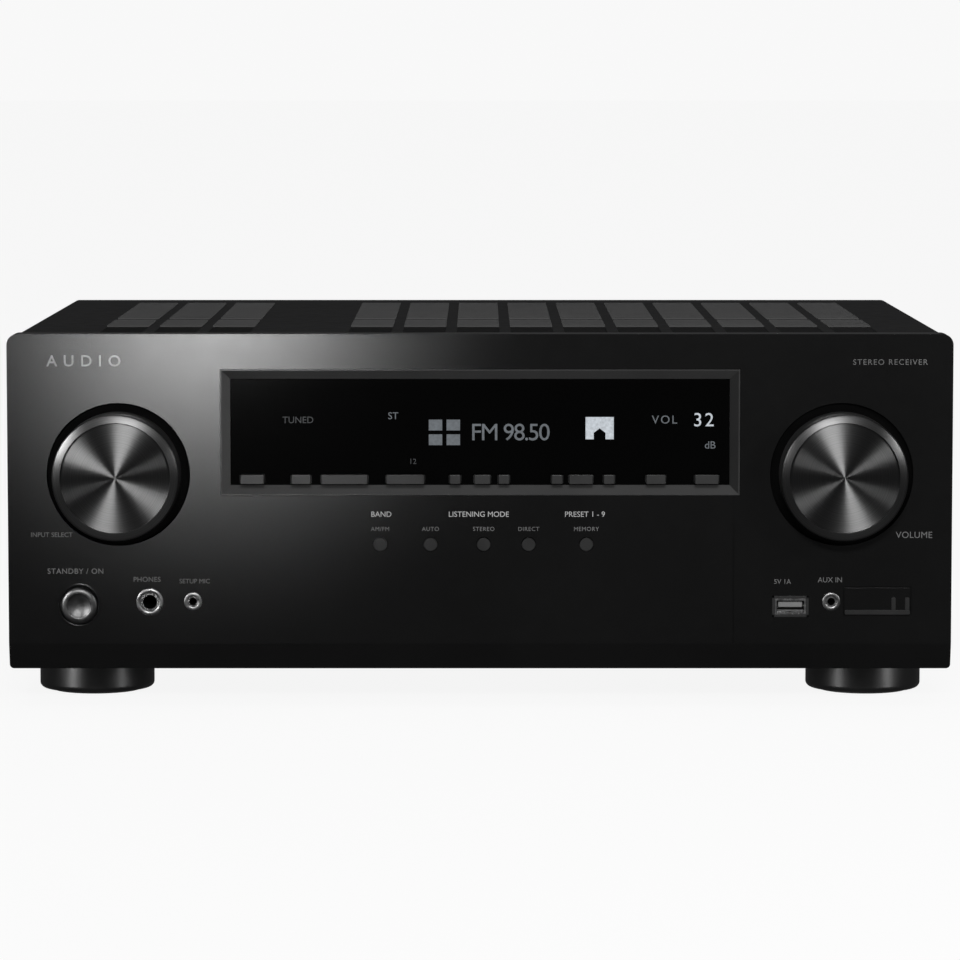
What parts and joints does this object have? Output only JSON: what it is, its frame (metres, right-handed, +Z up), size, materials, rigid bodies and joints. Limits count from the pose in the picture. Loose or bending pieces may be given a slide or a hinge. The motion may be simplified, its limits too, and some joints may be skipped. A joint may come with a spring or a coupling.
{
  "type": "stereo receiver",
  "caption": "Home audio receiver with a black front panel, two turned knobs, display window, small keys, front sockets, vented steel cover and rear terminals on round feet.",
  "frame": {"origin": "bottom centre of the bounding box, on the surface that the foot pads rest on", "axes": "+X to the right seen from the front, +Y from the front panel to the rear panel, +Z up"},
  "size_m": [0.435, 0.3704, 0.173],
  "materials": {
    "case_black": "satin black powder coat",
    "panel_black": "satin black, fine brushed grain",
    "bezel_black": "satin dark grey",
    "window_gloss": "high gloss, dark tint",
    "key_black": "satin",
    "button_metal": "polished",
    "knob_metal": "spun finish on the front, satin skirt",
    "shaft_steel": "plain",
    "chassis_steel": "zinc-coated sheet",
    "rear_steel": "satin black",
    "module_glass": "display glass on a dark carrier",
    "board_green": "solder mask",
    "cable_grey": "flat cable",
    "sink_aluminium": "extruded",
    "device_black": "moulded",
    "core_iron": "laminated, varnished",
    "coil_copper": "varnished winding",
    "capacitor_sleeve": "shrink sleeve",
    "module_tin": "tinned can",
    "jack_nickel": "nickel plate",
    "post_gold": "gold-coloured plate",
    "foot_black": "gloss moulding",
    "pad_felt": "felt",
    "connector_black": "moulded",
    "cap_red": "moulded"
  },
  "bodies": {
    "chassis": {"chassis_base": "chassis_steel", "front_subframe": "chassis_steel", "rear_panel": "rear_steel", "top_cover": "case_black", "front_panel": "panel_black", "display_bezel": "bezel_black", "display_window": "window_gloss", "display_module": "module_glass", "front_board": "board_green", "main_board": "board_green", "amplifier_board": "board_green", "ribbon_cable": "cable_grey", "heat_sink": "sink_aluminium", "output_transistors": "device_black", "transformer_core": "core_iron", "transformer_coil": "coil_copper", "filter_capacitors": "capacitor_sleeve", "tuner_module": "module_tin", "rotary_encoders": "module_tin", "tact_switches": "device_black", "headphone_jack": "jack_nickel", "mini_jacks": "jack_nickel", "usb_port": "jack_nickel", "front_video_port": "jack_nickel", "feet": "foot_black", "foot_pads": "pad_felt", "case_screws": "shaft_steel", "foot_screws": "shaft_steel", "ac_inlet": "connector_black", "speaker_terminal_block": "connector_black", "speaker_posts": "post_gold", "rca_jacks": "jack_nickel", "video_ports": "jack_nickel"},
    "input_knob": {"input_knob": "knob_metal", "input_shaft": "shaft_steel"},
    "volume_knob": {"volume_knob": "knob_metal", "volume_shaft": "shaft_steel"},
    "power_button": {"power_button": "button_metal"},
    "video_cap": {"video_cap": "panel_black"},
    "display_key_1": {"display_key_1": "key_black"},
    "display_key_2": {"display_key_2": "key_black"},
    "display_key_3": {"display_key_3": "key_black"},
    "display_key_4": {"display_key_4": "key_black"},
    "display_key_5": {"display_key_5": "key_black"},
    "display_key_6": {"display_key_6": "key_black"},
    "display_key_7": {"display_key_7": "key_black"},
    "display_key_8": {"display_key_8": "key_black"},
    "display_key_9": {"display_key_9": "key_black"},
    "display_key_10": {"display_key_10": "key_black"},
    "display_key_11": {"display_key_11": "key_black"},
    "display_key_12": {"display_key_12": "key_black"},
    "lower_key_1": {"lower_key_1": "key_black"},
    "lower_key_2": {"lower_key_2": "key_black"},
    "lower_key_3": {"lower_key_3": "key_black"},
    "lower_key_4": {"lower_key_4": "key_black"},
    "lower_key_5": {"lower_key_5": "key_black"},
    "terminal_cap_1": {"terminal_cap_1": "cap_red"},
    "terminal_cap_2": {"terminal_cap_2": "connector_black"},
    "terminal_cap_3": {"terminal_cap_3": "cap_red"},
    "terminal_cap_4": {"terminal_cap_4": "connector_black"}
  },
  "joints": [
    {"name": "input_knob_turn", "type": "hinge", "parent": "chassis", "child": "input_knob", "pos_m": [-0.1665, -0.16425, 0.1083], "axis": [0, 1, 0], "continuous": true},
    {"name": "volume_knob_turn", "type": "hinge", "parent": "chassis", "child": "volume_knob", "pos_m": [0.1665, -0.16425, 0.1083], "axis": [0, 1, 0], "continuous": true},
    {"name": "power_button_press", "type": "slide", "parent": "chassis", "child": "power_button", "axis": [0, 1, 0], "range_m": [0, 0.0006], "stiffness_N_per_m": 1500},
    {"name": "video_cap_pull", "type": "slide", "parent": "chassis", "child": "video_cap", "axis": [0, -1, 0], "range_m": [0, 0.025]},
    {"name": "display_key_1_press", "type": "slide", "parent": "chassis", "child": "display_key_1", "axis": [0, 1, 0], "range_m": [0, 0.0006], "stiffness_N_per_m": 1200},
    {"name": "display_key_2_press", "type": "slide", "parent": "chassis", "child": "display_key_2", "axis": [0, 1, 0], "range_m": [0, 0.0006], "stiffness_N_per_m": 1200},
    {"name": "display_key_3_press", "type": "slide", "parent": "chassis", "child": "display_key_3", "axis": [0, 1, 0], "range_m": [0, 0.0006], "stiffness_N_per_m": 1200},
    {"name": "display_key_4_press", "type": "slide", "parent": "chassis", "child": "display_key_4", "axis": [0, 1, 0], "range_m": [0, 0.0006], "stiffness_N_per_m": 1200},
    {"name": "display_key_5_press", "type": "slide", "parent": "chassis", "child": "display_key_5", "axis": [0, 1, 0], "range_m": [0, 0.0006], "stiffness_N_per_m": 1200},
    {"name": "display_key_6_press", "type": "slide", "parent": "chassis", "child": "display_key_6", "axis": [0, 1, 0], "range_m": [0, 0.0006], "stiffness_N_per_m": 1200},
    {"name": "display_key_7_press", "type": "slide", "parent": "chassis", "child": "display_key_7", "axis": [0, 1, 0], "range_m": [0, 0.0006], "stiffness_N_per_m": 1200},
    {"name": "display_key_8_press", "type": "slide", "parent": "chassis", "child": "display_key_8", "axis": [0, 1, 0], "range_m": [0, 0.0006], "stiffness_N_per_m": 1200},
    {"name": "display_key_9_press", "type": "slide", "parent": "chassis", "child": "display_key_9", "axis": [0, 1, 0], "range_m": [0, 0.0006], "stiffness_N_per_m": 1200},
    {"name": "display_key_10_press", "type": "slide", "parent": "chassis", "child": "display_key_10", "axis": [0, 1, 0], "range_m": [0, 0.0006], "stiffness_N_per_m": 1200},
    {"name": "display_key_11_press", "type": "slide", "parent": "chassis", "child": "display_key_11", "axis": [0, 1, 0], "range_m": [0, 0.0006], "stiffness_N_per_m": 1200},
    {"name": "display_key_12_press", "type": "slide", "parent": "chassis", "child": "display_key_12", "axis": [0, 1, 0], "range_m": [0, 0.0006], "stiffness_N_per_m": 1200},
    {"name": "lower_key_1_press", "type": "slide", "parent": "chassis", "child": "lower_key_1", "axis": [0, 1, 0], "range_m": [0, 0.0006], "stiffness_N_per_m": 1200},
    {"name": "lower_key_2_press", "type": "slide", "parent": "chassis", "child": "lower_key_2", "axis": [0, 1, 0], "range_m": [0, 0.0006], "stiffness_N_per_m": 1200},
    {"name": "lower_key_3_press", "type": "slide", "parent": "chassis", "child": "lower_key_3", "axis": [0, 1, 0], "range_m": [0, 0.0006], "stiffness_N_per_m": 1200},
    {"name": "lower_key_4_press", "type": "slide", "parent": "chassis", "child": "lower_key_4", "axis": [0, 1, 0], "range_m": [0, 0.0006], "stiffness_N_per_m": 1200},
    {"name": "lower_key_5_press", "type": "slide", "parent": "chassis", "child": "lower_key_5", "axis": [0, 1, 0], "range_m": [0, 0.0006], "stiffness_N_per_m": 1200},
    {"name": "terminal_cap_1_turn", "type": "hinge", "parent": "chassis", "child": "terminal_cap_1", "pos_m": [-0.085, 0.17075, 0.062], "axis": [0, 1, 0], "range_deg": [0, 720]},
    {"name": "terminal_cap_2_turn", "type": "hinge", "parent": "chassis", "child": "terminal_cap_2", "pos_m": [-0.066, 0.17075, 0.062], "axis": [0, 1, 0], "range_deg": [0, 720]},
    {"name": "terminal_cap_3_turn", "type": "hinge", "parent": "chassis", "child": "terminal_cap_3", "pos_m": [-0.047, 0.17075, 0.062], "axis": [0, 1, 0], "range_deg": [0, 720]},
    {"name": "terminal_cap_4_turn", "type": "hinge", "parent": "chassis", "child": "terminal_cap_4", "pos_m": [-0.028, 0.17075, 0.062], "axis": [0, 1, 0], "range_deg": [0, 720]}
  ]
}
